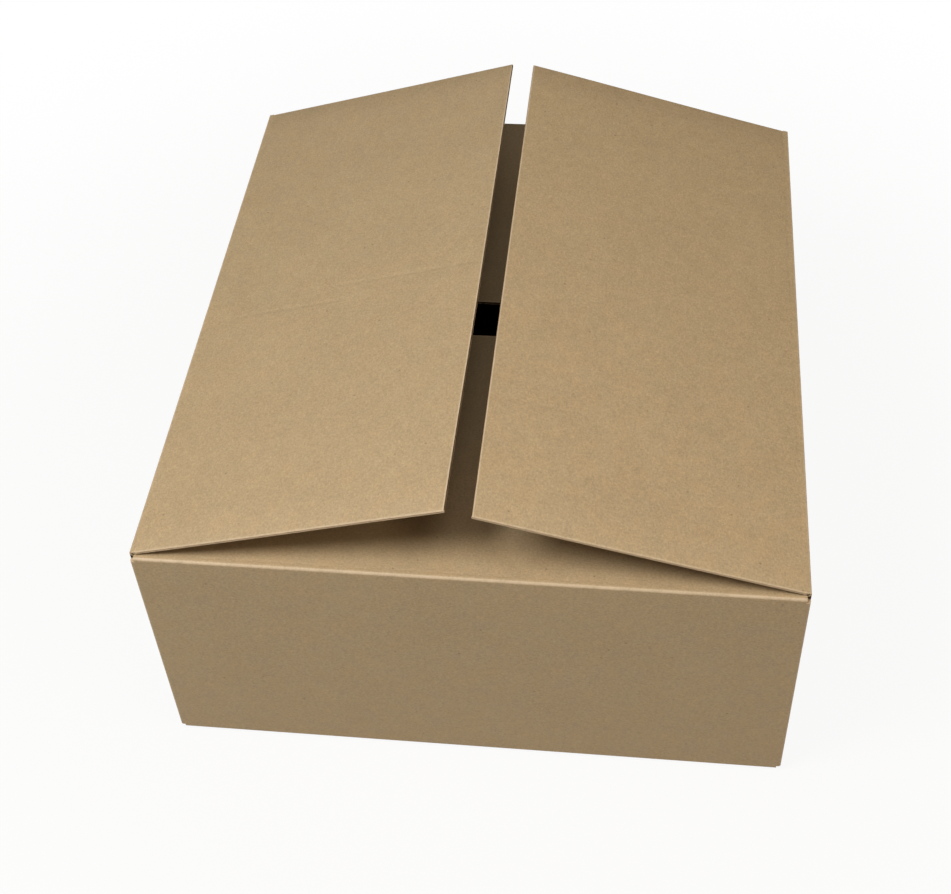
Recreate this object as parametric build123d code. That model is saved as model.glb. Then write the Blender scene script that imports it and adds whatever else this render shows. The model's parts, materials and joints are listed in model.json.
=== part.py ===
from build123d import *
import math
import os

# A regular slotted carton of single-wall corrugated board, folded from one blank.
# Its bottom is closed and glued, its two top minor flaps (front and back) are folded
# in flat, and its two top major flaps (left and right) stand a little open over them.
# Millimetres and degrees. The origin is the centre of the base, X points right,
# Y points to the back and Z points up.

# Carton, outside sizes
box_width = 600.0  # left to right
box_length = 655.0  # front to back
box_height = 280.0  # table to the upper face of the folded minor flaps

# Corrugated board
board = 3.0  # thickness of the whole board
liner = 0.35  # thickness of each flat outer paper
medium = 0.3  # thickness of the fluted paper where it is glued to a liner
flute_pitch = 6.5  # one wave of the fluted paper
flute_bond = 0.5  # width of the glue line along each flute tip

# Folds and cuts of the blank
fold_radius = 2.5  # outside radius of a right-angled fold
fold_bead = 1.0  # radius of the ridge that the crushed board makes inside a fold
slot_width = 6.0  # slot cut between neighbouring flaps, centred on the corner crease
slot_overcut = 1.5  # how far a slot runs past the crease of a minor flap
score_offset = 6.0  # outer face of a wall to the shallow line that scoring leaves
score_width = 2.4
score_depth = 0.25
flute_start = 8.5  # outer face of a wall to where the flutes are open again
layer_gap = 0.3  # closed major flap to the minor flap below it
top_seam = 1.0  # between the free edges of the two major flaps when they are closed
bottom_seam = 0.8  # between the free edges of the two bottom major flaps

# Crease of a moving flap, where the board is crushed thin from the inside
crease_thickness = 0.7  # flap side of the crease, a round bead on the hinge axis
nose_radius = 0.3  # rounded top of the wall, next to the bead
crease_gap = 0.45  # bead to nose
nose_lean = 30.0  # direction from bead to nose, inwards from straight down
neck_length = 1.2  # hinge axis to where the flap starts to thicken
shoulder_drop = 2.0  # hinge axis down to where the wall reaches its outer face
crush_length = 4.5  # hinge axis to where flap and wall have their full thickness

# Glued joint that closes the blank to a tube, at the back left corner
lap_width = 35.0
lap_end_gap = 8.0  # ends of the lap to the minor flaps above and below it
lap_end_angle = 15.0
joint_gap = 1.0  # cut end of the back wall to the outer face of the left wall
lap_fold_relief = 0.3  # how much flatter the lap's fold is than a round one

# Rest pose of the major flaps, above level
left_flap_angle = 15.9
right_flap_angle = 15.3

# Values that follow from the sizes above
half_width = box_width / 2
half_length = box_length / 2
inner_x = half_width - board
inner_y = half_length - board
bead_radius = crease_thickness / 2
hinge_x = half_width - bead_radius
hinge_z = box_height + layer_gap + board - bead_radius
major_half = half_length - board / 2 - slot_width / 2
minor_half = half_width - board / 2 - slot_width / 2
top_major_cut = half_width - top_seam / 2
top_minor_cut = top_major_cut + board + layer_gap
bottom_major_cut = half_width - bottom_seam / 2
bottom_minor_cut = bottom_major_cut + board
slots_end_top = box_height - board - slot_overcut
slots_end_bottom = 2 * board + slot_overcut


def outline_face(*edges):
    """A flat face inside edges that follow each other."""
    return Face(Wire(edges))


def run_along_y(section, half):
    """A section drawn with X across and Y up, stood upright and run along Y."""
    return extrude(Plane.XZ * section, amount=half, both=True)


def run_along_x(section, half):
    """A section drawn with X to the back and Y up, stood upright and run along X."""
    return extrude(Plane.YZ * section, amount=half, both=True)


def fluted_section(half):
    """Cut edge of the board, 2 * half wide, with its lower face at Y = 0.

    The triangles between the liners are the hollows on the two sides of the
    fluted paper.
    """
    outline = Wire.make_polygon([(-half, 0), (half, 0), (half, board), (-half, board)])
    half_base = (flute_pitch - flute_bond) / 2
    tip = board - liner - medium
    count = int(2 * half / flute_pitch - 1)
    hollows = []
    for index in range(count):
        x = (index - count / 2) * flute_pitch + half_base
        up = [(x - half_base, liner), (x + half_base, liner), (x, tip)]
        x += flute_pitch / 2
        down = [(x, board - tip), (x + half_base, board - liner), (x - half_base, board - liner)]
        hollows += [Wire.make_polygon(up), Wire.make_polygon(down)]
    return Face(outline, hollows)


def score_line(y):
    """Edges of the shallow line that scoring leaves in an outer face at height y."""
    start = (score_offset - score_width / 2, y)
    end = (score_offset + score_width / 2, y)
    bottom = (score_offset, y - score_depth)
    return start, end, ThreePointArc(start, bottom, end)


def folded_edge(wall_end, flap_end, scored):
    """Section of a wall that folds by a right angle into a flap.

    X runs inwards from the wall's outer face. The flap's outer face is at Y = 0
    and the wall hangs down from it to Y = -wall_end.
    """
    corner = fold_radius * (1 - math.sqrt(0.5))
    bulge = board + fold_bead * math.sqrt(0.5)
    edges = [
        Line((0, -wall_end), (0, -fold_radius)),
        ThreePointArc((0, -fold_radius), (corner, -corner), (fold_radius, 0)),
    ]
    flap_start = (fold_radius, 0)
    if scored:
        line_start, line_end, line = score_line(0)
        edges += [Line(flap_start, line_start), line]
        flap_start = line_end
    edges += [
        Line(flap_start, (flap_end, 0)),
        Line((flap_end, 0), (flap_end, -board)),
        Line((flap_end, -board), (board + fold_bead, -board)),
        ThreePointArc((board + fold_bead, -board), (bulge, -bulge), (board, -board - fold_bead)),
        Line((board, -board - fold_bead), (board, -wall_end)),
        Line((board, -wall_end), (0, -wall_end)),
    ]
    return outline_face(*edges)


def wall_tube():
    """The four walls between the slots, closed at the back left corner."""
    outside = Rectangle(box_width, box_length)
    folded_corners = [v for v in outside.vertices() if v.X > 0 or v.Y < 0]
    section = fillet(folded_corners, fold_radius) - Rectangle(2 * inner_x, 2 * inner_y)
    for x, y in ((-inner_x, -inner_y), (inner_x, -inner_y), (inner_x, inner_y)):
        section += Pos(x, y) * Circle(fold_bead)
    # The left wall turns in under the back wall, whose cut end stops just short of it
    flat = fold_radius * (1 - math.sqrt(0.5)) + lap_fold_relief
    joint = outline_face(
        Line((0, 0), (joint_gap, 0)),
        Line((joint_gap, 0), (joint_gap, -board)),
        Line((joint_gap, -board), (fold_radius, -board)),
        ThreePointArc((fold_radius, -board), (flat, -board - flat), (0, -board - fold_radius)),
        Line((0, -board - fold_radius), (0, 0)),
    )
    section -= Pos(-half_width, half_length) * joint
    return Pos(0, 0, slots_end_bottom) * extrude(section, amount=slots_end_top - slots_end_bottom)


def glue_lap():
    """The lap of the left wall, glued to the inside of the back wall."""
    slant = lap_width * math.tan(math.radians(lap_end_angle))
    low = 2 * board + lap_end_gap
    high = box_height - board - lap_end_gap
    shape = Polygon(
        (0, low), (lap_width, low + slant), (lap_width, high - slant), (0, high), align=None
    )
    return Pos(-inner_x, inner_y, 0) * extrude(Plane.XZ * shape, amount=board)


def minor_flaps(side):
    """Top and bottom minor flaps of the front (side -1) or the back (side 1)."""
    root = folded_edge(box_height - slots_end_top, flute_start, scored=True)
    bottom = folded_edge(slots_end_bottom - board, bottom_minor_cut, scored=False)
    top_root = Pos(0, 0, box_height) * run_along_x(root, minor_half)
    bottom_flap = Pos(0, 0, board) * run_along_x(mirror(bottom, Plane.XZ), minor_half)
    slab = extrude(Plane.XZ * fluted_section(minor_half), amount=-(top_minor_cut - flute_start))
    top_flap = Pos(0, flute_start, box_height - board) * slab
    flaps = [Pos(0, -half_length, 0) * piece for piece in (top_root, top_flap, bottom_flap)]
    return [mirror(flap, Plane.XZ) for flap in flaps] if side > 0 else flaps


def major_edges(side):
    """Upper edge and bottom major flap of the left (side -1) or the right wall (side 1)."""
    lean = math.radians(nose_lean)
    reach = bead_radius + crease_gap + nose_radius
    nose = (bead_radius + reach * math.sin(lean), hinge_z - reach * math.cos(lean))
    full = hinge_z - crush_length
    edge = outline_face(
        Line((0, slots_end_top), (0, hinge_z - shoulder_drop)),
        Line((0, hinge_z - shoulder_drop), (nose[0] - nose_radius, nose[1])),
        ThreePointArc(
            (nose[0] - nose_radius, nose[1]),
            (nose[0], nose[1] + nose_radius),
            (nose[0] + nose_radius, nose[1]),
        ),
        Line((nose[0] + nose_radius, nose[1]), (board, full)),
        Line((board, full), (board, slots_end_top)),
        Line((board, slots_end_top), (0, slots_end_top)),
    )
    bottom = folded_edge(slots_end_bottom, bottom_major_cut, scored=False)
    sections = (edge, mirror(bottom, Plane.XZ))
    pieces = [Pos(-half_width, 0, 0) * run_along_y(section, major_half) for section in sections]
    return [mirror(piece, Plane.YZ) for piece in pieces] if side > 0 else pieces


def carton_body():
    """Everything that is folded and stays put, as one piece."""
    pieces = [glue_lap()]
    for side in (-1, 1):
        pieces += minor_flaps(side) + major_edges(side)
    return wall_tube().fuse(*pieces)


def closed_major_flap():
    """The left major flap when it is closed, with its hinge axis on the Y axis."""
    inner_face = bead_radius - board
    start, end, line = score_line(bead_radius)
    shift = bead_radius  # the score line is measured from the wall's outer face
    root_end = flute_start - bead_radius
    root = outline_face(
        ThreePointArc((0, -bead_radius), (-bead_radius, 0), (0, bead_radius)),
        Line((0, bead_radius), (start[0] - shift, start[1])),
        Pos(-shift, 0) * line,
        Line((end[0] - shift, end[1]), (root_end, bead_radius)),
        Line((root_end, bead_radius), (root_end, inner_face)),
        Line((root_end, inner_face), (crush_length, inner_face)),
        Line((crush_length, inner_face), (neck_length, -bead_radius)),
        Line((neck_length, -bead_radius), (0, -bead_radius)),
    )
    slab = extrude(Plane.YZ * fluted_section(major_half), amount=top_major_cut - flute_start)
    return run_along_y(root, major_half).fuse(Pos(root_end, 0, inner_face) * slab)


def major_flaps():
    """The two major flaps at their rest angles."""
    flap = closed_major_flap()
    left = Pos(-hinge_x, 0, hinge_z) * Rot(0, -left_flap_angle, 0) * flap
    right = Pos(hinge_x, 0, hinge_z) * Rot(0, right_flap_angle, 0) * mirror(flap, Plane.YZ)
    return left, right


left_top_flap, right_top_flap = major_flaps()
nodes = {
    "carton_body": carton_body(),
    "left_top_flap": left_top_flap,
    "right_top_flap": right_top_flap,
}
os.makedirs("parts", exist_ok=True)
for name, solid in nodes.items():
    export_step(solid, f"parts/{name}.step")
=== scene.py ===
import json
import math
from contextlib import contextmanager
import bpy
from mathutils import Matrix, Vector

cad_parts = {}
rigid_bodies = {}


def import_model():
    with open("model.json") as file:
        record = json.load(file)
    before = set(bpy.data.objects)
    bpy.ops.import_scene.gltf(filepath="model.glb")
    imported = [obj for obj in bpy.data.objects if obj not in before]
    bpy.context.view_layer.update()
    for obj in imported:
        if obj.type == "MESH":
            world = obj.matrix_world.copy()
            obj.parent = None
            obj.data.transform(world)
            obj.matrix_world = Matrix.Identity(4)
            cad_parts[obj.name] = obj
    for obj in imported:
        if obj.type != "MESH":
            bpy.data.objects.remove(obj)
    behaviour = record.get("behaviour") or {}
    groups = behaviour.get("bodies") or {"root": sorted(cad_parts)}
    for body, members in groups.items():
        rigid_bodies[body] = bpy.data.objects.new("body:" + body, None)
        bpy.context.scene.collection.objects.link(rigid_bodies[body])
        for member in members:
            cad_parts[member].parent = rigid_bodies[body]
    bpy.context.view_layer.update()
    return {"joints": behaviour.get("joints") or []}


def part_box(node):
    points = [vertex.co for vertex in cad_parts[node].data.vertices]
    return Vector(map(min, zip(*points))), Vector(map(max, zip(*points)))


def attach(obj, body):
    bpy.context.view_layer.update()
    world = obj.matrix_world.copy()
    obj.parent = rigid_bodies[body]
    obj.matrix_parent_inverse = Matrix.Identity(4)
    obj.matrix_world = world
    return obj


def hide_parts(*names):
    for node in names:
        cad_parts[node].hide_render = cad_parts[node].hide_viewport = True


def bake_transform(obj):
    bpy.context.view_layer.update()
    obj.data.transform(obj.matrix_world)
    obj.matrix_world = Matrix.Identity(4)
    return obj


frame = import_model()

from types import SimpleNamespace

import bmesh
import bpy
from bpy.props import FloatProperty, FloatVectorProperty, PointerProperty
from mathutils import Vector

# A carton of corrugated kraft board, folded from one blank, in metres. Its two top
# major flaps turn on their creases, and the rest is folded and glued.
# X points right, Y to the back and Z up.

bl_info = {
    "name": "Corrugated Carton",
    "version": (1, 0, 0),
    "blender": (4, 5, 0),
    "location": "View3D > Sidebar > Carton",
    "description": "A folded carton of corrugated kraft board with two moving top flaps",
    "category": "Add Mesh",
}

MM = 0.001
NODES = {-1: "left_top_flap", 1: "right_top_flap"}
BODIES = {-1: "left_flap", 1: "right_flap"}
FOLD_STEPS = 4
# Bevel profile of an arc round the edge itself, which leaves a ridge inside a fold
BEAD_PROFILE = 0.086
# How closely a point has to lie at a place, and how far a limit is kept clear of a row of points
TOLERANCE = 0.02 * MM
SLACK = 0.1 * MM
# Ends of the fluted paper inside a flap's sides, as a share of the depth of an open edge
STRIP_MARGIN = 1.2


class BoardSizes(bpy.types.PropertyGroup):
    """Sizes of the corrugated board"""

    thickness: FloatProperty(
        name="Thickness", description="From liner to liner", default=3 * MM, unit="LENGTH"
    )
    liner: FloatProperty(
        name="Liner", description="Thickness of each flat outer paper", default=0.35 * MM, unit="LENGTH"
    )
    crushed_liner: FloatProperty(
        name="Crushed liner", description="Liner and fluted paper pressed together along a cut",
        default=0.55 * MM, unit="LENGTH",
    )
    medium: FloatProperty(
        name="Fluted paper", description="Thickness of the fluted paper", default=0.3 * MM, unit="LENGTH"
    )
    pitch: FloatProperty(
        name="Flute pitch", description="One wave of the fluted paper", default=6.5 * MM, unit="LENGTH"
    )
    edge_depth: FloatProperty(
        name="Edge depth", description="How far a cut edge is open between its liners",
        default=2.2 * MM, unit="LENGTH",
    )
    flute_depth: FloatProperty(
        name="Flute depth", description="How far one sees into the flutes", default=11 * MM, unit="LENGTH"
    )
    # The pale rubbed rim and band along a cut edge are partly a painted highlight.
    rim: FloatProperty(
        name="Rubbed rim", description="Width that is rubbed pale along a cut edge",
        default=0.7 * MM, unit="LENGTH",
    )
    wear_and_highlight: FloatProperty(
        name="Rubbed edge", description="Width of the band along a cut edge that is rubbed at all",
        default=1.6 * MM, unit="LENGTH",
    )
    crush: FloatProperty(
        name="Crushed rim", description="How far the outer liner is pressed down where the blank was "
        "cut along the flutes", default=0.9 * MM, unit="LENGTH",
    )


class FoldSizes(bpy.types.PropertyGroup):
    """Sizes of the folds, score lines and slots"""

    radius: FloatProperty(
        name="Fold radius", description="Outside radius of a folded edge", default=2.5 * MM, unit="LENGTH"
    )
    bead: FloatProperty(
        name="Fold bead", description="Ridge of crushed board inside a fold", default=1 * MM, unit="LENGTH"
    )
    score: FloatProperty(
        name="Score distance", description="Outer face of a wall to the score line beside its fold",
        default=6 * MM, unit="LENGTH",
    )
    score_width: FloatProperty(
        name="Score width", description="Width of a score line", default=2.4 * MM, unit="LENGTH"
    )
    score_depth: FloatProperty(
        name="Score depth", description="Depth of a score line", default=0.25 * MM, unit="LENGTH"
    )
    slot: FloatProperty(
        name="Slot width", description="Slot between neighbouring flaps", default=6 * MM, unit="LENGTH"
    )
    overcut: FloatProperty(
        name="Slot overcut", description="How far a slot runs past a minor flap's crease",
        default=1.5 * MM, unit="LENGTH",
    )
    bulge: FloatProperty(
        name="Fold bulge", description="How far the ends of a minor flap's fold spread into the slots",
        default=1.2 * MM, unit="LENGTH",
    )
    layer_gap: FloatProperty(
        name="Layer gap", description="Closed major flap to the minor flap below it",
        default=0.3 * MM, unit="LENGTH",
    )
    glue: FloatProperty(
        name="Glue line", description="Between two glued layers", default=0.05 * MM, unit="LENGTH"
    )
    bottom_seam: FloatProperty(
        name="Bottom seam", description="Between the bottom major flaps", default=0.8 * MM, unit="LENGTH"
    )
    top_seam: FloatProperty(
        name="Top seam", description="Between the closed top major flaps", default=1 * MM, unit="LENGTH"
    )


class CreaseSizes(bpy.types.PropertyGroup):
    """Sizes of the creases that the major flaps turn on"""

    bead: FloatProperty(
        name="Crease bead", description="Radius of the crushed edge on the hinge axis",
        default=0.35 * MM, unit="LENGTH",
    )
    neck: FloatProperty(
        name="Neck", description="Hinge axis to where the flap starts to thicken",
        default=1.2 * MM, unit="LENGTH",
    )
    crush: FloatProperty(
        name="Crushed width", description="Hinge axis to the full thickness of flap and wall",
        default=4.5 * MM, unit="LENGTH",
    )
    shoulder: FloatProperty(
        name="Shoulder", description="Hinge axis down to the wall's outer face",
        default=2 * MM, unit="LENGTH",
    )
    skin: FloatProperty(
        name="Crease skin", description="Thickness of the liner across the crease",
        default=0.15 * MM, unit="LENGTH",
    )


class LapSizes(bpy.types.PropertyGroup):
    """Sizes of the glued lap that closes the blank"""

    width: FloatProperty(
        name="Lap width", description="Reach of the glued lap", default=35 * MM, unit="LENGTH"
    )
    end_gap: FloatProperty(
        name="Lap end gap", description="Ends of the lap to the flaps", default=8 * MM, unit="LENGTH"
    )
    slant: FloatProperty(
        name="Lap slant", description="Slant of the lap's ends", default=math.radians(15), subtype="ANGLE"
    )
    joint: FloatProperty(
        name="Joint gap", description="Cut end of the back wall to the left wall's face",
        default=1 * MM, unit="LENGTH",
    )


class FlapForm(bpy.types.PropertyGroup):
    """How the top major flaps have warped, and the marks on them"""

    sag: FloatProperty(
        name="Sag", description="How far a flap's middle dips between crease and free edge",
        default=0.25 * MM, unit="LENGTH",
    )
    high: FloatProperty(
        name="High corner", description="How far the left flap's front free corner and the right "
        "flap's back one stand up", default=3 * MM, unit="LENGTH",
    )
    low: FloatProperty(
        name="Low corner", description="How far the other two free corners stand up",
        default=0.2 * MM, unit="LENGTH",
    )
    mark_depth: FloatProperty(
        name="Mark depth", description="Depth of a flute that was pressed in",
        default=0.55 * MM, unit="LENGTH",
    )


def colour(name, description, default):
    """A colour that the user can change."""
    return FloatVectorProperty(
        name=name, description=description, default=default, size=3, min=0, max=1, subtype="COLOR"
    )


class KraftColours(bpy.types.PropertyGroup):
    """Colours of the papers, linear"""

    outer: colour("Outer liner", "Paper on the outside", (0.420, 0.305, 0.167))
    inner: colour("Inner liner", "Paper on the inside", (0.402, 0.285, 0.152))
    # The rubbed colour is pale rubbed paper and also a painted highlight along folds and cut edges.
    worn_and_highlight: colour("Rubbed paper", "Paper along folds and edges", (0.600, 0.460, 0.300))
    cut: colour("Cut edge", "Raw edge of the liners", (0.560, 0.420, 0.265))
    # The fluted paper is darkened as painted shade inside open edges and slots.
    fluting_and_shade: colour("Fluted paper", "Paper between the liners", (0.230, 0.150, 0.080))
    fleck: colour("Fleck", "Dark specks in the paper", (0.160, 0.095, 0.050))


class StageSettings(bpy.types.PropertyGroup):
    """Floor, lamps and sky"""

    floor: colour("Floor", "Pale floor", (0.600, 0.565, 0.500))
    sky: colour("Sky", "Light from all round", (0.085, 0.085, 0.085))
    key: FloatProperty(
        name="Key lamp", description="Soft lamp above the front left corner", default=30, unit="POWER"
    )
    top: FloatProperty(name="Top lamp", description="Large soft lamp overhead", default=16.5, unit="POWER")
    fill: FloatProperty(name="Fill lamp", description="Soft lamp on the right", default=18, unit="POWER")
    back: FloatProperty(name="Back lamp", description="Faint lamp behind", default=2.5, unit="POWER")


GROUPS = {
    "carton_board": BoardSizes,
    "carton_folds": FoldSizes,
    "carton_creases": CreaseSizes,
    "carton_lap": LapSizes,
    "carton_flaps": FlapForm,
    "carton_colours": KraftColours,
    "carton_stage": StageSettings,
}


def settings():
    """The property groups of the scene, by short names."""
    scene = bpy.context.scene
    return SimpleNamespace(**{name.removeprefix("carton_"): getattr(scene, name) for name in GROUPS})


def layout():
    """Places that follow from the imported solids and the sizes."""
    s = settings()
    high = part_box("carton_body")[1]
    hinge = Vector(frame["joints"][0]["pos_m"])
    board = s.board.thickness
    plan = SimpleNamespace(width=high.x, length=high.y, hinge_x=-hinge.x, hinge_z=hinge.z)
    plan.height = hinge.z + s.creases.bead - board - s.folds.layer_gap
    plan.minor = plan.width - board / 2 - s.folds.slot / 2
    plan.major = plan.length - board / 2 - s.folds.slot / 2
    plan.reach = plan.width - s.folds.top_seam / 2
    plan.top_edge = plan.length - (plan.reach + board + s.folds.layer_gap)
    plan.bottom_seam = s.folds.bottom_seam / 2
    plan.bottom_edge = plan.length - (plan.width - plan.bottom_seam + board)
    plan.slot_top = plan.height - board - s.folds.overcut
    plan.slot_bottom = 2 * board + s.folds.overcut
    return plan


# Modelling helpers


def select_only(*pieces):
    """Selects these objects alone, the first one active."""
    if bpy.context.object and bpy.context.object.mode != "OBJECT":
        bpy.ops.object.mode_set(mode="OBJECT")
    bpy.ops.object.select_all(action="DESELECT")
    for piece in pieces:
        piece.select_set(True)
    bpy.context.view_layer.objects.active = pieces[0]


def block(name, low, high):
    """A box between two corners, with its place in its mesh."""
    bpy.ops.object.select_all(action="DESELECT")
    low, high = Vector(low), Vector(high)
    bpy.ops.mesh.primitive_cube_add(size=1, location=(low + high) / 2, scale=high - low)
    bpy.ops.object.transform_apply(location=True, rotation=True, scale=True)
    piece = bpy.context.object
    piece.name = name
    piece.data.name = name
    return piece


@contextmanager
def editing(piece):
    """Edit mode on one piece."""
    select_only(piece)
    bpy.ops.object.mode_set(mode="EDIT")
    yield
    bpy.ops.object.mode_set(mode="OBJECT")


def pick(kind, test):
    """Selects only the verts, edges or faces whose middle and direction pass a test."""
    bpy.ops.mesh.select_mode(type=kind)
    bpy.ops.mesh.select_all(action="DESELECT")
    data = bpy.context.edit_object.data
    mesh = bmesh.from_edit_mesh(data)
    if kind == "VERT":
        chosen = [v for v in mesh.verts if test(v.co, v.normal)]
    elif kind == "EDGE":
        ends = [(e, e.verts[0].co, e.verts[1].co) for e in mesh.edges]
        chosen = [e for e, a, b in ends if test((a + b) / 2, (b - a).normalized())]
    else:
        chosen = [f for f in mesh.faces if test(f.calc_center_median(), f.normal)]
    if not chosen:
        raise RuntimeError("nothing to select here")
    for element in chosen:
        element.select_set(True)
    mesh.select_flush_mode()
    bmesh.update_edit_mesh(data)


def near(value, place):
    """Whether a coordinate lies at a place."""
    return abs(value - place) < TOLERANCE


def shift(x=0.0, y=0.0, z=0.0):
    """Moves what is selected."""
    bpy.ops.transform.translate(value=(x, y, z))


def cut_rows(axis, places, test=None):
    """Adds rows of edges across an axis, on all faces or on those that pass a test."""
    normal = [0.0, 0.0, 0.0]
    normal["XYZ".index(axis)] = 1.0
    for place in places:
        if test:
            pick("FACE", test)
        else:
            bpy.ops.mesh.select_all(action="SELECT")
        bpy.ops.mesh.bisect(plane_co=[place * n for n in normal], plane_no=normal)


def assign(name):
    """Gives the selected faces the material of that name."""
    piece = bpy.context.edit_object
    piece.active_material_index = piece.material_slots.find(name)
    bpy.ops.object.material_slot_assign()


def evenly(start, end, step):
    """Places between two ends, about a step apart."""
    count = max(1, round((end - start) / step))
    return [start + (end - start) * index / count for index in range(1, count)]


def open_edges(test, depth, liner, core="fluted_paper_and_shade"):
    """Opens the cut edge of the board between its two liners, and gives the groove the core's material; the
    dark fluted paper there is partly painted shade.
    """
    pick("FACE", test)
    bpy.ops.mesh.inset(thickness=liner, use_even_offset=True)
    inwards = {"value": -depth, "use_even_offset": True}
    bpy.ops.mesh.extrude_region_shrink_fatten(TRANSFORM_OT_shrink_fatten=inwards)
    bpy.ops.mesh.select_more()
    assign(core)


def rub_and_highlight(piece, amount):
    """Writes how rubbed each point is, from 0 to 1, for the paper's pale colour, which along folds and cut
    edges is partly a painted highlight.
    """
    wear_and_highlight = piece.data.attributes.new("wear_and_highlight", "FLOAT", "POINT")
    for index, vertex in enumerate(piece.data.vertices):
        wear_and_highlight.data[index].value = amount(vertex.co)


def smooth(piece, degrees=35):
    """Shades a piece smoothly, apart from edges that turn by more than an angle."""
    select_only(piece)
    bpy.ops.object.shade_smooth_by_angle(angle=math.radians(degrees))


def apply_modifier(piece, kind, **values):
    """Adds a modifier with these settings and applies it."""
    select_only(piece)
    modifier = piece.modifiers.new(kind.title(), kind)
    for key, value in values.items():
        setattr(modifier, key, value)
    bpy.ops.object.modifier_apply(modifier=modifier.name)


# Materials


class Signal:
    """An output of a material's node, which adds Math nodes in expressions."""

    def __init__(self, finish, socket):
        self.finish = finish
        self.socket = socket

    def maths(self, operation, first, second):
        return self.finish.add("ShaderNodeMath", {"operation": operation}, {0: first, 1: second})

    def __add__(self, other):
        return self.maths("ADD", self, other)

    def __radd__(self, other):
        return self.maths("ADD", other, self)

    def __sub__(self, other):
        return self.maths("SUBTRACT", self, other)

    def __rsub__(self, other):
        return self.maths("SUBTRACT", other, self)

    def __mul__(self, other):
        return self.maths("MULTIPLY", self, other)

    def __rmul__(self, other):
        return self.maths("MULTIPLY", other, self)


class Finish:
    """The nodes of one material."""

    def __init__(self, name):
        self.material = bpy.data.materials.new(name)
        self.material.use_nodes = True
        self.tree = self.material.node_tree
        self.tree.nodes.clear()

    def add(self, kind, options, inputs, output=0):
        """A node of one type, with its settings first and then its sockets."""
        node = self.tree.nodes.new(kind)
        for key, value in options.items():
            setattr(node, key, value)
        for key, value in inputs.items():
            if isinstance(value, Signal):
                self.tree.links.new(value.socket, node.inputs[key])
            else:
                node.inputs[key].default_value = value
        return Signal(self, node.outputs[output]) if node.outputs else None

    def place(self):
        """Object coordinates."""
        return self.add("ShaderNodeTexCoord", {}, {}, output=3)

    def stretched(self, scale):
        """Object coordinates, scaled along each axis."""
        return self.add("ShaderNodeMapping", {}, {"Vector": self.place(), "Scale": scale})

    def noise(self, vector, scale, detail=3.0, roughness=0.55):
        """Clouds from about -1 to 1."""
        inputs = {"Vector": vector, "Scale": scale, "Detail": detail, "Roughness": roughness}
        return self.add("ShaderNodeTexNoise", {}, inputs) * 2 - 1

    def wave(self, vector, axis, length):
        """Waves along an axis, from -1 to 1."""
        place = self.add("ShaderNodeSeparateXYZ", {}, {"Vector": vector}, output="XYZ".index(axis))
        return self.add("ShaderNodeMath", {"operation": "SINE"}, {0: place * (2 * math.pi / length)})

    def band(self, value, start, end, low=0.0, high=1.0):
        """A smooth step of a value."""
        inputs = {"Value": value, "From Min": start, "From Max": end, "To Min": low, "To Max": high}
        return self.add("ShaderNodeMapRange", {"interpolation_type": "SMOOTHSTEP"}, inputs)

    def mix(self, factor, first, second, blend="MIX"):
        """Two colours mixed."""
        options = {"data_type": "RGBA", "blend_type": blend, "clamp_factor": True}
        return self.add("ShaderNodeMix", options, {0: factor, 6: first, 7: second}, output=2)

    def tone(self, base, value):
        """A colour made lighter or darker by 1 + value."""
        level = self.add("ShaderNodeCombineColor", {}, {0: value + 1, 1: value + 1, 2: value + 1})
        return self.mix(1.0, base, level, "MULTIPLY")

    def finish(self, base, roughness, height, distance, specular):
        """The shader, with a bump of a height in units of the distance."""
        normal = self.add("ShaderNodeBump", {}, {"Height": height, "Distance": distance, "Strength": 1.0})
        shader = self.add(
            "ShaderNodeBsdfPrincipled",
            {},
            {"Base Color": base, "Roughness": roughness, "Normal": normal, "Specular IOR Level": specular},
        )
        self.add("ShaderNodeOutputMaterial", {}, {"Surface": shader})
        return self.material


def solid(values):
    """A colour with full alpha."""
    return (*values, 1.0)


def kraft_paper(name, base, along):
    """Kraft liner, whose fibres and rolling streaks run along X or Y, across the flutes."""
    f = Finish(name)
    colours = settings().colours
    grain = f.stretched((1.0, 0.3, 1.0) if along == "Y" else (0.3, 1.0, 1.0))
    place = f.place()
    clouds = f.noise(place, 90, detail=3)
    blotches = f.noise(place, 14, detail=2)
    fibres = f.noise(grain, 900, detail=2, roughness=0.7)
    speckle = f.noise(place, 500, detail=3, roughness=0.65)
    tone = clouds * 0.10 + blotches * 0.05 + fibres * 0.20 + speckle * 0.38
    paper = f.tone(solid(base), tone)
    warm = f.band(f.noise(place, 48, detail=1), -0.35, 0.35, 0.0, 0.35)
    paper = f.mix(warm, paper, f.mix(1.0, paper, (1.05, 0.985, 0.93, 1.0), "MULTIPLY"))
    cells = {"Vector": place, "Scale": 70.0}
    from_middle = f.add("ShaderNodeTexVoronoi", {"feature": "F1"}, cells)
    cell = f.add("ShaderNodeTexVoronoi", {"feature": "F1"}, cells, output=1)
    rarity = f.add("ShaderNodeTexWhiteNoise", {"noise_dimensions": "3D"}, {"Vector": cell})
    flecks = f.band(from_middle, 0.10, 0.04) * f.band(rarity, 0.55, 0.75)
    paper = f.mix(flecks * 0.55, paper, solid(colours.fleck))
    # Pale rubbed paper along folds and cut edges, partly a painted highlight there
    wear_and_highlight = f.add("ShaderNodeAttribute", {"attribute_name": "wear_and_highlight"}, {}, output=2)
    rubbed_and_highlight = wear_and_highlight * f.band(speckle + clouds, -0.9, 0.6, 0.45, 1.0)
    paper = f.mix(rubbed_and_highlight, paper, solid(colours.worn_and_highlight))
    flutes = f.wave(place, along, settings().board.pitch)
    height = speckle * 0.5 + fibres * 0.35 + clouds * 0.5 + flutes * 0.08
    roughness = f.band(clouds, -0.6, 0.6, 0.55, 0.68)
    return f.finish(paper, roughness, height, 0.05 * MM, 0.5)


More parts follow.
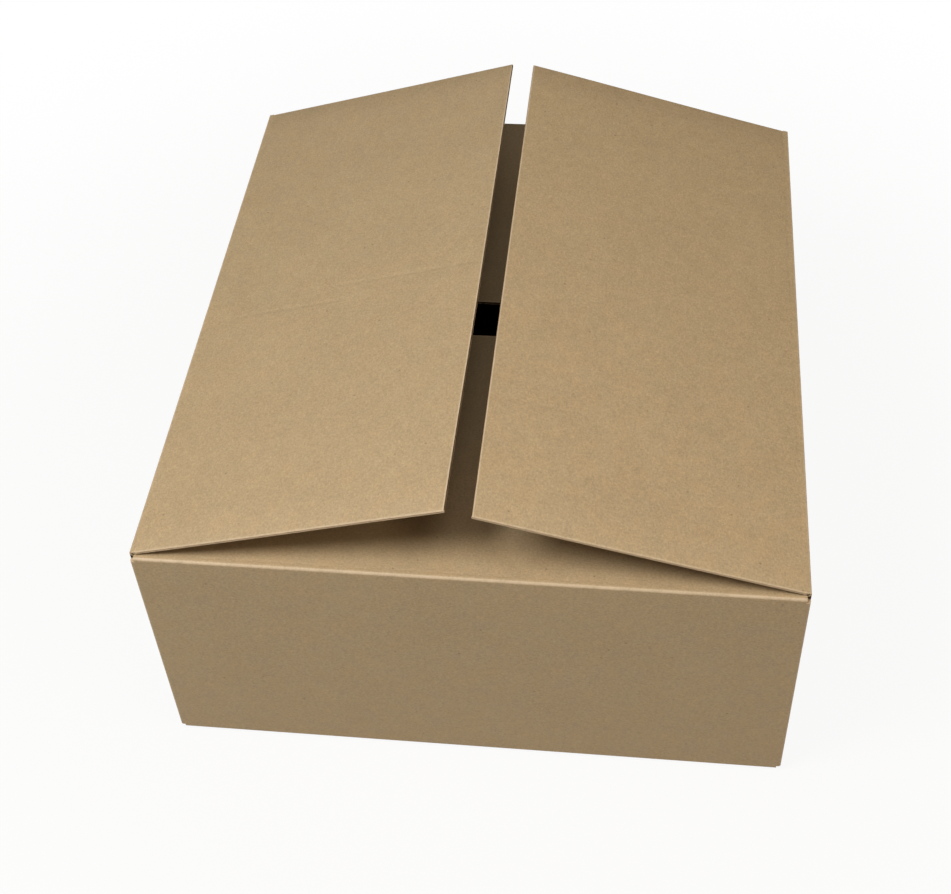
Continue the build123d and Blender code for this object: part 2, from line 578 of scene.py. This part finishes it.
def cut_paper(name, base):
    """Raw fibres of a cut edge or of the fluted paper."""
    f = Finish(name)
    place = f.place()
    torn = f.noise(place, 1400, detail=3, roughness=0.7)
    clouds = f.noise(place, 160, detail=2)
    paper = f.tone(solid(base), torn * 0.30 + clouds * 0.12)
    return f.finish(paper, 0.85, torn, 0.08 * MM, 0.2)


def papers():
    """The materials of the carton, made once."""
    if "outer_liner_across" not in bpy.data.materials:
        colours = settings().colours
        for suffix, along in (("across", "X"), ("deep", "Y")):
            kraft_paper("outer_liner_" + suffix, colours.outer, along)
            kraft_paper("inner_liner_" + suffix, colours.inner, along)
        cut_paper("cut_edge", colours.cut)
        cut_paper("fluted_paper_and_shade", colours.fluting_and_shade)
    return bpy.data.materials


def give_materials(piece, *names):
    """Adds material slots to a piece, in this order."""
    for name in names:
        piece.data.materials.append(papers()[name])


# Pieces


def flute_strip(half, depth):
    """Fluted paper along a cut edge: waves along X, open at Y = 0, middle at Z = 0."""
    s = settings()
    steps = 10
    rise = (s.board.thickness - s.board.medium) / 2 - s.board.liner
    count = math.ceil(2 * half / s.board.pitch) + 1
    bpy.ops.object.select_all(action="DESELECT")
    bpy.ops.mesh.primitive_grid_add(x_subdivisions=steps, y_subdivisions=1, size=1)
    strip = bpy.context.object
    strip.scale = (s.board.pitch, depth, 1)
    strip.location.y = depth / 2
    bpy.ops.object.transform_apply(location=True, rotation=True, scale=True)
    with editing(strip):
        for step in range(1, steps):
            x = s.board.pitch * (step / steps - 0.5)
            pick("VERT", lambda co, _: near(co.x, x))
            shift(z=rise * math.sin(2 * math.pi * step / steps))
    apply_modifier(
        strip, "ARRAY", count=count, use_relative_offset=False, use_constant_offset=True,
        constant_offset_displace=(s.board.pitch, 0, 0), use_merge_vertices=True,
        merge_threshold=0.01 * MM,
    )
    with editing(strip):
        bpy.ops.mesh.select_all(action="SELECT")
        shift(x=-s.board.pitch * (count - 1) / 2)
        for side in (-1, 1):
            bpy.ops.mesh.select_all(action="SELECT")
            bpy.ops.mesh.bisect(plane_co=(side * half, 0, 0), plane_no=(side, 0, 0), clear_outer=True)
    apply_modifier(strip, "SOLIDIFY", thickness=s.board.medium, offset=0)
    give_materials(strip, "fluted_paper_and_shade")
    return strip


def set_down(piece, turn, place):
    """Turns a piece about Z and moves it, with its place in its mesh."""
    select_only(piece)
    piece.rotation_euler.z = turn
    piece.location = place
    bpy.ops.object.transform_apply(location=True, rotation=True, scale=True)


def join(pieces, name):
    """Joins pieces into the first one."""
    select_only(*pieces)
    bpy.ops.object.join()
    pieces[0].name = name
    pieces[0].data.name = name
    return pieces[0]


def board_skin(inner):
    """One face of the folded blank: the four walls with their fixed flaps, slotted."""
    s, plan = settings(), layout()
    side = "inner" if inner else "outer"
    inset = s.board.thickness if inner else 0.0
    x_face, y_face = plan.width - inset, plan.length - inset
    top = plan.height - inset
    rim = plan.hinge_z - (s.creases.crush if inner else s.creases.shoulder)
    low_major = inset - (s.folds.glue if inner else 0.0)
    low_minor = s.board.thickness + inset
    radius = s.folds.bead if inner else s.folds.radius
    profile = BEAD_PROFILE if inner else 0.5
    skin = block(side + "_skin", (-x_face, -y_face, low_major), (x_face, y_face, rim))
    give_materials(skin, side + "_liner_across", side + "_liner_deep")

    def spare(co, n):
        on_front = abs(n.y) > 0.5
        corner = abs(co.x) > plan.minor if on_front else abs(co.y) > plan.major
        past_slot = co.z > plan.slot_top or co.z < plan.slot_bottom
        past_front = on_front and (co.z > top or co.z < low_minor)
        return past_front or (corner and past_slot)

    def on_corner(co, d):
        return abs(co.x) > x_face - MM and abs(co.y) > y_face - MM and abs(d.z) > 0.5

    def on_top(co, n):
        return abs(n.z) > 0.9 and near(co.z, top)

    with editing(skin):
        pick("FACE", lambda co, n: abs(n.z) > 0.5)
        bpy.ops.mesh.delete(type="ONLY_FACE")
        pick("FACE", lambda co, n: abs(n.x) > 0.5)
        assign(side + "_liner_deep")
        cut_rows("Z", (top, low_minor, plan.slot_top, plan.slot_bottom))
        cut_rows("X", (-plan.minor, plan.minor))
        cut_rows("Y", (-plan.major, plan.major))
        pick("FACE", spare)
        bpy.ops.mesh.delete(type="FACE")
        pick("EDGE", on_corner)
        bpy.ops.mesh.bevel(offset=radius, segments=FOLD_STEPS, profile=profile)
        folds = (
            ("y", y_face, top, y_face - plan.top_edge),
            ("y", y_face, low_minor, y_face - plan.bottom_edge),
            ("x", x_face, low_major, x_face - plan.bottom_seam),
        )
        for axis, face, z, reach in folds:
            for way in (-1, 1):
                pick("EDGE", lambda co, d: near(getattr(co, axis), way * face) and near(co.z, z)
                     and abs(d.z) < 0.5)
                step = (0, -way * reach, 0) if axis == "y" else (-way * reach, 0, 0)
                bpy.ops.mesh.extrude_edges_move(TRANSFORM_OT_translate={"value": step})
        for axis, face, z, reach in folds:
            pick("EDGE", lambda co, d: near(abs(getattr(co, axis)), face) and near(co.z, z)
                 and abs(d.z) < 0.5)
            bpy.ops.mesh.bevel(offset=radius, segments=FOLD_STEPS, profile=profile)
        half_score = s.folds.score_width / 2
        score = plan.length - s.folds.score
        rims = (s.board.rim, s.board.wear_and_highlight)
        rows = [score - half_score, score, score + half_score, score - s.folds.radius]
        rows += [plan.top_edge + rim for rim in rims]
        cut_rows("Y", [way * row for way in (-1, 1) for row in rows], on_top)
        cut_rows("X", [way * (plan.minor - rim) for way in (-1, 1) for rim in rims], on_top)
        cut_rows("Z", (top - 3 * s.folds.radius,), lambda co, n: abs(n.y) > 0.9 and co.z > top / 2)
        if not inner:
            pick("VERT", lambda co, n: near(abs(co.y), score) and near(co.z, top))
            shift(z=-s.folds.score_depth)
    return skin


def close_blank(outer, inner):
    """Joins the two faces of the blank by its cut edges."""
    blank = join([outer, inner], "carton_board")
    give_materials(blank, "cut_edge", "fluted_paper_and_shade")
    middle = layout().height / 2
    with editing(blank):
        for upper in (True, False):
            bpy.ops.mesh.select_mode(type="EDGE")
            bpy.ops.mesh.select_all(action="DESELECT")
            mesh = bmesh.from_edit_mesh(blank.data)
            for edge in mesh.edges:
                if edge.is_boundary and (edge.verts[0].co.z > middle) == upper:
                    edge.select_set(True)
            bmesh.update_edit_mesh(blank.data)
            bpy.ops.mesh.bridge_edge_loops()
            assign("cut_edge")
    return blank


def move_row(place, goal):
    """Moves an upright row of points from one place in X and Y to another."""
    pick("VERT", lambda co, n: near(co.x, place[0]) and near(co.y, place[1]))
    shift(goal[0] - place[0], goal[1] - place[1])


def shape_joint(carton):
    """The back left corner, where the back wall's cut end stops short of the left wall."""
    s, plan = settings(), layout()
    radius = s.folds.radius
    lap_face = plan.length - s.board.thickness
    end = plan.width - s.lap.joint
    # How far in front of the back wall's inner face the left wall starts to turn, where the
    # middle of its turn lies, and the rounding of the back wall's cut end
    turn_start = 1.4 * MM
    turn_inset, turn_drop = 0.15 * MM, 0.7 * MM
    cut_round = 0.1 * MM
    goals = (
        (-plan.width, lap_face - turn_start),
        (turn_inset - plan.width, lap_face - turn_drop),
        (-end, lap_face - cut_round),
        (-end, plan.length - cut_round),
        (cut_round - end, plan.length),
    )
    with editing(carton):
        for index, goal in enumerate(goals):
            angle = math.pi / 2 * index / FOLD_STEPS
            x = radius - plan.width - radius * math.cos(angle)
            y = plan.length - radius + radius * math.sin(angle)
            move_row((x, y), goal)


def shape_noses(carton):
    """The crushed upper edges of the side walls, rounded beside the hinge axes."""
    s, plan = settings(), layout()
    rim_out = plan.hinge_z - s.creases.shoulder
    rim_in = plan.hinge_z - s.creases.crush
    inside = plan.width - s.board.thickness
    rise = 1 * MM
    nose_top = plan.hinge_z - 0.65 * MM
    nose_out, nose_in = plan.width - 0.6 * MM, plan.width - 1.2 * MM
    nose_round = 0.28 * MM
    with editing(carton):
        pick("FACE", lambda co, n: abs(co.y) < plan.major and n.z > 0.3
             and inside < abs(co.x) < plan.width and co.z > rim_in)
        bpy.ops.mesh.extrude_region_move(TRANSFORM_OT_translate={"value": (0, 0, rise)})
        for way in (-1, 1):
            pick("VERT", lambda co, n: near(co.x, way * plan.width) and near(co.z, rim_out + rise))
            shift(x=way * (nose_out - plan.width), z=nose_top - rim_out - rise)
            pick("VERT", lambda co, n: near(co.x, way * inside) and near(co.z, rim_in + rise))
            shift(x=way * (nose_in - inside), z=nose_top - rim_in - rise)
        pick("EDGE", lambda co, d: near(co.z, nose_top) and abs(d.y) > 0.9)
        bpy.ops.mesh.bevel(offset=nose_round, segments=3)


def open_carton_edges(carton):
    """Opens the cut edges of the fixed flaps, and lays fluted paper in their free ends."""
    s, plan = settings(), layout()
    board, depth, liner = s.board.thickness, s.board.edge_depth, s.board.liner
    flutes = []
    flaps = (
        ("y", "x", plan.minor, plan.top_edge, plan.height - board / 2),
        ("y", "x", plan.minor, plan.bottom_edge, board * 1.5),
        ("x", "y", plan.major, plan.bottom_seam, board / 2),
    )
    for out, across, half, free, z in flaps:
        root = (plan.length if out == "y" else plan.width) - s.folds.score - s.folds.radius + SLACK

        def on_edge(co, n):
            level = abs(co.z - z) < board / 3
            end = near(abs(getattr(co, out)), free) and abs(getattr(n, out)) > 0.9
            side = near(abs(getattr(co, across)), half) and abs(getattr(n, across)) > 0.9
            return level and (end or (side and abs(getattr(co, out)) < root))

        def on_floor(co, n):
            level = abs(co.z - z) < board / 3
            return level and near(abs(getattr(co, out)), free + depth) and abs(getattr(n, out)) > 0.9

        with editing(carton):
            open_edges(on_edge, depth, liner)
            open_edges(on_floor, s.board.flute_depth - depth, liner)
        for way in (-1, 1):
            strip = flute_strip(half - STRIP_MARGIN * depth, s.board.flute_depth - liner)
            turn = (math.pi if way < 0 else 0) if out == "y" else -way * math.pi / 2
            place = (0, way * free, z) if out == "y" else (way * free, 0, z)
            set_down(strip, turn, place)
            flutes.append(strip)

    def wall_end(co, n):
        in_wall = abs(co.x) > plan.width - board and plan.slot_top < co.z < plan.height
        return in_wall and near(abs(co.y), plan.major) and abs(n.y) > 0.9

    with editing(carton):
        # The cut ends of the walls in the slots get the dark fluted paper, as painted shade in the slots.
        pick("FACE", wall_end)
        assign("fluted_paper_and_shade")
        open_edges(wall_end, depth, liner)
        for way in (-1, 1):
            pick("VERT", lambda co, n: near(co.x, way * plan.minor) and co.z > plan.height - board - MM
                 and abs(co.y) > plan.length - s.folds.score)
            shift(x=way * s.folds.bulge)
    return flutes


def glue_lap():
    """The lap of the left wall, glued to the inside of the back wall."""
    s, plan = settings(), layout()
    board = s.board.thickness
    low = 2 * board + s.lap.end_gap
    high = plan.height - board - s.lap.end_gap
    root, free = board - plan.width, board - plan.width + s.lap.width
    face = plan.length - board
    lap = block("glue_lap", (root, face - board, low), (free, face - s.folds.glue, high))
    give_materials(lap, "inner_liner_across", "cut_edge", "fluted_paper_and_shade")
    slant = s.lap.width * math.tan(s.lap.slant)
    with editing(lap):
        pick("VERT", lambda co, n: near(co.x, free) and co.z > plan.height / 2)
        shift(z=-slant)
        pick("VERT", lambda co, n: near(co.x, free) and co.z < plan.height / 2)
        shift(z=slant)
        pick("FACE", lambda co, n: abs(n.y) < 0.5 and n.x > -0.5)
        assign("cut_edge")
        open_edges(lambda co, n: abs(n.y) < 0.5 and n.x > -0.5, s.board.edge_depth, s.board.liner)
    return lap


def carton_wear_and_highlight():
    """A rule that says how rubbed the carton is at a point: folds, corners and cut edges. On the fold
    crests and cut edges the pale colour is partly a painted highlight.
    """
    s, plan = settings(), layout()
    near_fold = 0.9 * s.folds.radius
    at_cut, at_fold, at_fold_end, at_corner, at_base = 0.8, 0.75, 1.0, 0.4, 0.1
    score = plan.length - s.folds.score
    rim = s.board.rim + SLACK

    def wear_and_highlight(co):
        x, y, z = abs(co.x), abs(co.y), co.z
        at_front = y > plan.length - near_fold
        at_side = x > plan.width - near_fold
        at_end = y < plan.top_edge + rim and z > plan.height / 2
        if at_end or (plan.minor - rim < x < plan.minor + rim and y < score):
            return at_cut
        if at_front and z > plan.height - near_fold:
            return at_fold_end if x > plan.minor - s.folds.slot else at_fold
        if z < near_fold + (s.board.thickness if at_front else 0):
            return at_base if at_front or at_side else 0.0
        return at_corner if at_front and at_side else 0.0

    return wear_and_highlight


def build_carton():
    """The walls with the fixed flaps, the lap and the fluted paper, as one piece."""
    outer = board_skin(inner=False)
    inner = board_skin(inner=True)
    with editing(inner):
        bpy.ops.mesh.select_all(action="SELECT")
        bpy.ops.mesh.flip_normals()
    carton = close_blank(outer, inner)
    shape_joint(carton)
    shape_noses(carton)
    flutes = open_carton_edges(carton)
    carton = join([carton, glue_lap(), *flutes], "carton_board")
    rub_and_highlight(carton, carton_wear_and_highlight())
    smooth(carton)
    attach(carton, "carton")
    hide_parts("carton_body")
    return carton


def flap_marks(side):
    """Flutes that were pressed in.

    Each has its place in Y as the blank lies, its start and end from the crease, and its
    share of the depth.
    """
    if side < 0:
        return ((-28 * MM, 38 * MM, 157 * MM, 1.0), (-5.5 * MM, 139 * MM, 287 * MM, 1.0))
    return ((180 * MM, 214 * MM, 289 * MM, 0.7),)


def flap_blank(side):
    """A flat, level flap on the hinge axis, which is the Y axis. It reaches to the right."""
    s, plan = settings(), layout()
    bead, board = s.creases.bead, s.board.thickness
    reach = plan.reach - bead
    flap = block("flap", (-bead, -plan.major, bead - board), (reach, plan.major, bead))
    give_materials(flap, "outer_liner_deep", "inner_liner_deep", "cut_edge", "fluted_paper_and_shade")
    score = s.folds.score - bead
    half_score = s.folds.score_width / 2
    root = score + s.folds.radius
    full = s.creases.crush
    rows = [0, s.creases.neck, score - half_score, score, score + half_score, root]
    row_step, column_step = 24 * MM, 38 * MM
    rims = (s.board.rim, s.board.wear_and_highlight)
    rows += evenly(root, reach - s.board.wear_and_highlight, row_step) + [reach - rim for rim in rims]
    edge = plan.major - s.board.wear_and_highlight
    columns = evenly(-edge, edge, column_step)
    columns += [way * (plan.major - rim) for way in (-1, 1) for rim in rims]
    marks = flap_marks(side)
    half_mark = s.board.pitch * 0.55
    # Rows of points across a mark, as shares of half its width. The outermost two keep the
    # shading sharp at its sides.
    mark_rows = (-1.3, -1, -0.5, 0, 0.5, 1, 1.3)
    columns += [mark[0] + step * half_mark for mark in marks for step in mark_rows]
    with editing(flap):
        pick("FACE", lambda co, n: n.z < -0.5)
        assign("inner_liner_deep")
        pick("FACE", lambda co, n: abs(n.z) < 0.5)
        assign("cut_edge")
        cut_rows("X", rows)
        cut_rows("Y", columns)
        pick("VERT", lambda co, n: co.x < s.creases.neck + SLACK and co.z < 0)
        shift(z=board - 2 * bead)
        pick("VERT", lambda co, n: near(co.x, score - half_score) and co.z < 0)
        shift(x=full - (score - half_score))
        pick("VERT", lambda co, n: near(co.x, score) and co.z > 0)
        shift(z=-s.folds.score_depth)
        pick("EDGE", lambda co, d: near(co.x, -bead) and abs(d.y) > 0.9)
        bpy.ops.mesh.bevel(offset=0.9 * bead, segments=3)
        for y, start, end, share in marks:
            for step in (-0.5, 0, 0.5):
                pick("VERT", lambda co, n: near(co.y, y + step * half_mark) and near(co.z, bead)
                     and start < co.x < end)
                shift(z=-s.flaps.mark_depth * share * (1 - abs(step)))
        # Distance from the rim, and share of the crushing there
        for rim, share in ((0.0, 1.0), (s.board.rim, 0.35)):
            pick("VERT", lambda co, n: near(abs(co.y), plan.major - rim) and co.z > 0
                 and co.x > full + half_score / 2)
            shift(z=-share * s.board.crush)
        level = bead - board / 2
        open_edges(
            lambda co, n: abs(n.y) > 0.9 and root < co.x < reach - s.board.wear_and_highlight,
            s.board.rim, s.board.crushed_liner, "cut_edge",
        )
        open_edges(
            lambda co, n: n.x > 0.9 and near(co.x, reach) and abs(co.y) < edge,
            s.board.edge_depth, s.board.liner,
        )
        open_edges(
            lambda co, n: n.x > 0.9 and near(co.x, reach - s.board.edge_depth),
            s.board.flute_depth - s.board.edge_depth, s.board.liner,
        )
    strip = flute_strip(plan.major - STRIP_MARGIN * s.board.edge_depth, s.board.flute_depth - s.board.liner)
    set_down(strip, math.pi / 2, (reach, 0, level))
    return join([flap, strip], "flap"), reach


def lift(test, rise, size):
    """Lifts the points that pass a test, with the points around them following."""
    pick("VERT", test)
    bpy.ops.transform.translate(
        value=(0, 0, rise), use_proportional_edit=True,
        proportional_edit_falloff="SMOOTH", proportional_size=size,
    )


def warp_flap(flap, reach):
    """Dips the flap between its crease and free edge, and stands its free corners up."""
    s, plan = settings(), layout()
    with editing(flap):
        middle = min((v.co.x for v in flap.data.vertices), key=lambda x: abs(x - reach / 2))
        lift(lambda co, n: near(co.x, middle), -s.flaps.sag, reach / 2)
        for way, curl in ((-1, s.flaps.high), (1, s.flaps.low)):
            lift(lambda co, n: co.x > reach - MM and way * co.y > plan.major - MM, curl, reach)


def build_flap(side):
    """A top major flap at its rest angle, the left one for side -1."""
    s, plan = settings(), layout()
    flap, reach = flap_blank(side)
    warp_flap(flap, reach)
    rim = s.board.rim + SLACK

    # Pale rubbed paper, partly a painted highlight: full along the free edge, less along the front and back
    # edges
    def wear_and_highlight(co):
        if co.x > reach - rim:
            return 1.0
        return 0.6 if abs(co.y) > plan.major - rim else 0.0

    rub_and_highlight(flap, wear_and_highlight)
    select_only(flap)
    if side > 0:
        flap.rotation_euler.z = math.pi
        bpy.ops.object.transform_apply(location=False, rotation=True, scale=False)
    joint = frame["joints"][0 if side < 0 else 1]
    angle = math.radians(-joint["range_deg"][0])
    flap.rotation_euler.y = side * angle
    flap.location = joint["pos_m"]
    bpy.ops.object.transform_apply(location=True, rotation=True, scale=True)
    flap.name = NODES[side].replace("flap", "flap_board")
    flap.data.name = flap.name
    smooth(flap)
    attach(flap, BODIES[side])
    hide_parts(NODES[side])
    return flap


def build_crease(side):
    """The outer liner across a crease, from the wall to the flap."""
    s, plan = settings(), layout()
    joint = frame["joints"][0 if side < 0 else 1]
    hinge = Vector(joint["pos_m"])
    angle = math.radians(-joint["range_deg"][0])
    bead = s.creases.bead
    skin = bead + s.creases.skin / 3
    first_rise = 0.65 * MM
    out = Vector((side, 0, 0))
    up = Vector((0, 0, 1))
    normal = out * math.sin(angle) + up * math.cos(angle)
    inward = up * math.sin(angle) - out * math.cos(angle)
    rows = (
        hinge + out * bead - up * s.creases.shoulder,
        hinge + out * bead - up * (s.creases.shoulder - first_rise),
        hinge + (normal - inward).normalized() * skin,
        hinge + normal * skin,
        hinge + normal * skin + inward * s.creases.neck,
    )
    bpy.ops.object.select_all(action="DESELECT")
    bpy.ops.mesh.primitive_grid_add(x_subdivisions=len(rows) - 1, y_subdivisions=1, size=1)
    crease = bpy.context.object
    crease.scale.y = 2 * plan.major
    bpy.ops.object.transform_apply(location=True, rotation=True, scale=True)
    with editing(crease):
        for index, row in enumerate(rows):
            x = index / (len(rows) - 1) - 0.5
            pick("VERT", lambda co, n: near(co.x, x))
            shift(row.x - x, 0, row.z)
        bpy.ops.mesh.select_all(action="SELECT")
        bpy.ops.mesh.normals_make_consistent(inside=False)
    outwards = sum(p.normal.dot(normal) * p.area for p in crease.data.polygons)
    if outwards < 0:
        with editing(crease):
            bpy.ops.mesh.select_all(action="SELECT")
            bpy.ops.mesh.flip_normals()
    apply_modifier(crease, "SOLIDIFY", thickness=s.creases.skin, offset=-1)
    give_materials(crease, "outer_liner_deep")
    crease.name = BODIES[side] + "_crease"
    crease.data.name = crease.name
    # Half rubbed pale along the crease, partly a painted highlight
    rub_and_highlight(crease, lambda co: 0.5)
    smooth(crease, 60)
    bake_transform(crease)
    return crease


# Stage


def build_floor():
    """A pale floor that keeps the carton's shadow and fades to the backdrop's white."""
    s = settings()
    bpy.ops.object.select_all(action="DESELECT")
    bpy.ops.mesh.primitive_circle_add(vertices=96, radius=8, fill_type="NGON", location=(0, 0, -0.5 * MM))
    floor = bpy.context.object
    bpy.ops.object.transform_apply(location=True, rotation=True, scale=True)
    floor.name = "floor"
    f = Finish("pale_floor")
    rays = f.add("ShaderNodeLightPath", {}, {})
    outputs = rays.socket.node.outputs
    kinds = ("Is Camera Ray", "Is Glossy Ray", "Is Transmission Ray")
    seen, mirrored, through = (Signal(f, outputs[kind]) for kind in kinds)
    distance = f.add("ShaderNodeVectorMath", {"operation": "LENGTH"}, {0: f.place()}, output=1)
    # Pure white far out, a little less around the carton
    white = (seen + mirrored + through) * f.band(distance, 0.4, 1.2, 0.92, 1.0)
    # Dark below the seam in the carton's bottom
    white = white * f.band(distance, 0.04, 0.06)
    paint = f.add("ShaderNodeBsdfDiffuse", {}, {"Color": solid(s.stage.floor)})
    glow = f.add("ShaderNodeEmission", {}, {"Color": (1, 1, 1, 1), "Strength": 1.0})
    surface = f.add("ShaderNodeMixShader", {}, {0: white, 1: paint, 2: glow})
    f.add("ShaderNodeOutputMaterial", {}, {"Surface": surface})
    floor.data.materials.append(f.material)


def build_sky():
    """Even light from all round, white where the camera sees it."""
    sky = bpy.data.worlds.new("sky")
    bpy.context.scene.world = sky
    sky.use_nodes = True
    nodes, links = sky.node_tree.nodes, sky.node_tree.links
    nodes.clear()
    rays = nodes.new("ShaderNodeLightPath")
    tint = nodes.new("ShaderNodeMix")
    tint.data_type = "RGBA"
    tint.inputs[6].default_value = solid(settings().stage.sky)
    tint.inputs[7].default_value = (1, 1, 1, 1)
    light = nodes.new("ShaderNodeBackground")
    end = nodes.new("ShaderNodeOutputWorld")
    links.new(rays.outputs["Is Camera Ray"], tint.inputs[0])
    links.new(tint.outputs[2], light.inputs["Color"])
    links.new(light.outputs[0], end.inputs["Surface"])


def add_lamp(name, place, aim, size, power, tint):
    """A round soft lamp that shines at a point."""
    place = Vector(place)
    turn = (place - Vector(aim)).to_track_quat("Z", "Y").to_euler()
    bpy.ops.object.light_add(type="AREA", radius=size, location=place, rotation=turn)
    lamp = bpy.context.object
    lamp.name = name
    lamp.data.shape = "DISK"
    lamp.data.size = size
    lamp.data.energy = power
    lamp.data.color = tint


def build_camera():
    """The view of the photograph, for a picture of 951 by 894."""
    picture_width = 951
    focal_pixels = 1588.18
    centre_rise = 87
    sensor = 36.0
    bpy.ops.object.camera_add(
        location=(0.1431, -1.1536, 1.4000),
        rotation=[math.radians(turn) for turn in (44.587, 2.287, 6.005)],
    )
    camera = bpy.context.object
    camera.name = "camera"
    camera.data.sensor_width = sensor
    camera.data.lens = focal_pixels / picture_width * sensor
    camera.data.shift_y = -centre_rise / picture_width
    camera.data.clip_start = 0.01
    bpy.context.scene.camera = camera


class CARTON_OT_carton(bpy.types.Operator):
    """Model the folded carton with its glued lap and fixed flaps"""

    bl_idname = "carton.carton"
    bl_label = "Carton"

    def execute(self, context):
        build_carton()
        return {"FINISHED"}


class CARTON_OT_flaps(bpy.types.Operator):
    """Model the two top major flaps"""

    bl_idname = "carton.flaps"
    bl_label = "Top Flaps"

    def execute(self, context):
        for side in (-1, 1):
            build_flap(side)
        return {"FINISHED"}


class CARTON_OT_creases(bpy.types.Operator):
    """Model the liner across the two creases that turn"""

    bl_idname = "carton.creases"
    bl_label = "Creases"

    def execute(self, context):
        for side in (-1, 1):
            build_crease(side)
        return {"FINISHED"}


class CARTON_OT_stage(bpy.types.Operator):
    """Add the floor, the lamps, the sky and the camera"""

    bl_idname = "carton.stage"
    bl_label = "Stage"

    def execute(self, context):
        s = settings()
        build_floor()
        build_sky()
        middle = (0, 0, 0.2)
        lamps = (
            ("key_lamp", (-0.9, -0.9, 1.9), 0.8, s.stage.key, (0.97, 0.975, 0.985)),
            ("top_lamp", (0, -0.6, 2.6), 1.8, s.stage.top, (1, 0.98, 0.95)),
            ("fill_lamp", (1.8, -0.8, 1.6), 1.4, s.stage.fill, (1, 0.88, 0.76)),
            ("back_lamp", (-1.2, 1.9, 1.5), 1.4, s.stage.back, (1, 0.94, 0.86)),
        )
        for name, place, size, power, tint in lamps:
            add_lamp(name, place, middle, size, power, tint)
        build_camera()
        context.scene.view_settings.view_transform = "Standard"
        return {"FINISHED"}


OPERATORS = (CARTON_OT_carton, CARTON_OT_flaps, CARTON_OT_creases, CARTON_OT_stage)


class CARTON_PT_panel(bpy.types.Panel):
    """Lists the pieces of the carton and their sizes"""

    bl_idname = "CARTON_PT_panel"
    bl_label = "Carton"
    bl_space_type = "VIEW_3D"
    bl_region_type = "UI"
    bl_category = "Carton"

    def draw(self, context):
        for operator in OPERATORS:
            self.layout.operator(operator.bl_idname)
        for name in GROUPS:
            group = getattr(context.scene, name)
            box = self.layout.box()
            for key in group.bl_rna.properties.keys():
                if key not in ("rna_type", "name"):
                    box.prop(group, key)


def register():
    for group in (*GROUPS.values(), *OPERATORS, CARTON_PT_panel):
        bpy.utils.register_class(group)
    for name, group in GROUPS.items():
        setattr(bpy.types.Scene, name, PointerProperty(type=group))


def unregister():
    for name in GROUPS:
        delattr(bpy.types.Scene, name)
    for group in reversed((*GROUPS.values(), *OPERATORS, CARTON_PT_panel)):
        bpy.utils.unregister_class(group)


def main():
    register()
    for operator in OPERATORS:
        group, name = operator.bl_idname.split(".")
        getattr(getattr(bpy.ops, group), name)()


if __name__ == "__main__":
    main()
